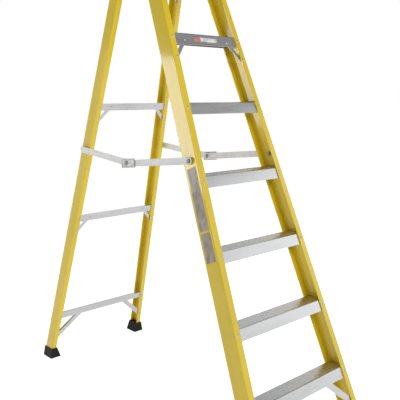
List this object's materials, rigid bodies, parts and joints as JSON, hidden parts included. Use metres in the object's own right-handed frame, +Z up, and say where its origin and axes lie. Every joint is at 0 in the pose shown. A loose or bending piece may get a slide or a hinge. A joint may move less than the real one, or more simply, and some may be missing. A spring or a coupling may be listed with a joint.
{
  "type": "platform step ladder",
  "caption": "Free-standing fibreglass step ladder with aluminium steps, a folding rear frame, side spreaders, a small standing platform and a tool tray on top",
  "frame": {"origin": "on the floor, in the middle of the box around the feet", "axes": "+X across the ladder, +Y from the climbing side to the rear feet, +Z up"},
  "size_m": [0.7148, 1.8538, 2.785],
  "materials": {
    "fibreglass": "pultruded fibreglass, safety yellow, satin gloss",
    "label_red": "printed film, red",
    "label_white": "printed film, off-white",
    "label_grey": "printed film, grey",
    "fastener_steel": "zinc-plated steel",
    "foot_rubber": "moulded black rubber",
    "tray_plastic": "moulded polypropylene, charcoal",
    "cast_alloy": "cast alloy, dull",
    "plate_alloy": "pressed alloy plate",
    "aluminium_mill": "extruded aluminium, mill finish, ribbed tread"
  },
  "bodies": {
    "front_frame": {"front_pad_left": "foot_rubber", "front_pad_right": "foot_rubber", "front_rail_left": "fibreglass", "front_rail_right": "fibreglass", "front_shoe_left": "plate_alloy", "front_shoe_right": "plate_alloy", "guard_bar": "aluminium_mill", "guard_rivets": "fastener_steel", "hinge_pin_left": "fastener_steel", "hinge_pin_right": "fastener_steel", "hinge_plate_bolts": "fastener_steel", "hinge_plate_left": "plate_alloy", "hinge_plate_right": "plate_alloy", "platform_pin_left": "fastener_steel", "platform_pin_right": "fastener_steel", "rail_labels": "label_grey", "spreader_bolt_left": "fastener_steel", "spreader_bolt_right": "fastener_steel", "step_1": "aluminium_mill", "step_2": "aluminium_mill", "step_3": "aluminium_mill", "step_4": "aluminium_mill", "step_5": "aluminium_mill", "step_6": "aluminium_mill", "step_brace_left": "aluminium_mill", "step_brace_right": "aluminium_mill", "step_gusset_left": "aluminium_mill", "step_gusset_right": "aluminium_mill", "step_label_red": "label_red", "step_label_white": "label_white", "step_rivets": "fastener_steel", "tool_tray": "tray_plastic"},
    "rear_frame": {"rear_bar_1": "aluminium_mill", "rear_bar_2": "aluminium_mill", "rear_bar_3": "aluminium_mill", "rear_bar_4": "aluminium_mill", "rear_boot_left": "foot_rubber", "rear_boot_right": "foot_rubber", "rear_brace_left": "aluminium_mill", "rear_brace_right": "aluminium_mill", "rear_gussets_2": "aluminium_mill", "rear_gussets_3": "aluminium_mill", "rear_gussets_4": "aluminium_mill", "rear_rail_left": "fibreglass", "rear_rail_right": "fibreglass", "rear_rivets": "fastener_steel", "spreader_studs": "fastener_steel"},
    "platform": {"platform_arm_left": "aluminium_mill", "platform_arm_right": "aluminium_mill", "platform_deck": "aluminium_mill", "platform_rivets": "fastener_steel"},
    "spreader_front_left": {"spreader_front_link_left": "aluminium_mill", "spreader_lock_left": "cast_alloy", "spreader_pin_left": "fastener_steel"},
    "spreader_rear_left": {"spreader_rear_link_left": "aluminium_mill"},
    "spreader_front_right": {"spreader_front_link_right": "aluminium_mill", "spreader_lock_right": "cast_alloy", "spreader_pin_right": "fastener_steel"},
    "spreader_rear_right": {"spreader_rear_link_right": "aluminium_mill"}
  },
  "joints": [
    {"name": "fold", "type": "hinge", "parent": "front_frame", "child": "rear_frame", "pos_m": [0, 0.19733, 2.323], "axis": [-1, 0, 0], "range_deg": [0, 38.2]},
    {"name": "platform_lift", "type": "hinge", "parent": "front_frame", "child": "platform", "pos_m": [0, 0.00006, 2.1126], "axis": [1, 0, 0], "range_deg": [0, 67.57]},
    {"name": "spreader_front_left", "type": "hinge", "parent": "front_frame", "child": "spreader_front_left", "pos_m": [-0.2675, -0.33097, 1.2814], "axis": [1, 0, 0], "range_deg": [0, 76.91]},
    {"name": "spreader_rear_left", "type": "hinge", "parent": "spreader_front_left", "child": "spreader_rear_left", "pos_m": [-0.2632, 0.11715, 1.2354], "axis": [-1, 0, 0], "range_deg": [0, 173.59]},
    {"name": "spreader_front_right", "type": "hinge", "parent": "front_frame", "child": "spreader_front_right", "pos_m": [0.2675, -0.33097, 1.2814], "axis": [1, 0, 0], "range_deg": [0, 76.91]},
    {"name": "spreader_rear_right", "type": "hinge", "parent": "spreader_front_right", "child": "spreader_rear_right", "pos_m": [0.2632, 0.11715, 1.2354], "axis": [-1, 0, 0], "range_deg": [0, 173.59]}
  ],
  "couplings": [
    {"joint": "platform_lift", "follows": "fold", "ratio": 1.7684},
    {"joint": "spreader_front_left", "follows": "fold", "ratio": 2.013},
    {"joint": "spreader_rear_left", "follows": "fold", "ratio": 4.5439},
    {"joint": "spreader_front_right", "follows": "fold", "ratio": 2.013},
    {"joint": "spreader_rear_right", "follows": "fold", "ratio": 4.5439}
  ]
}
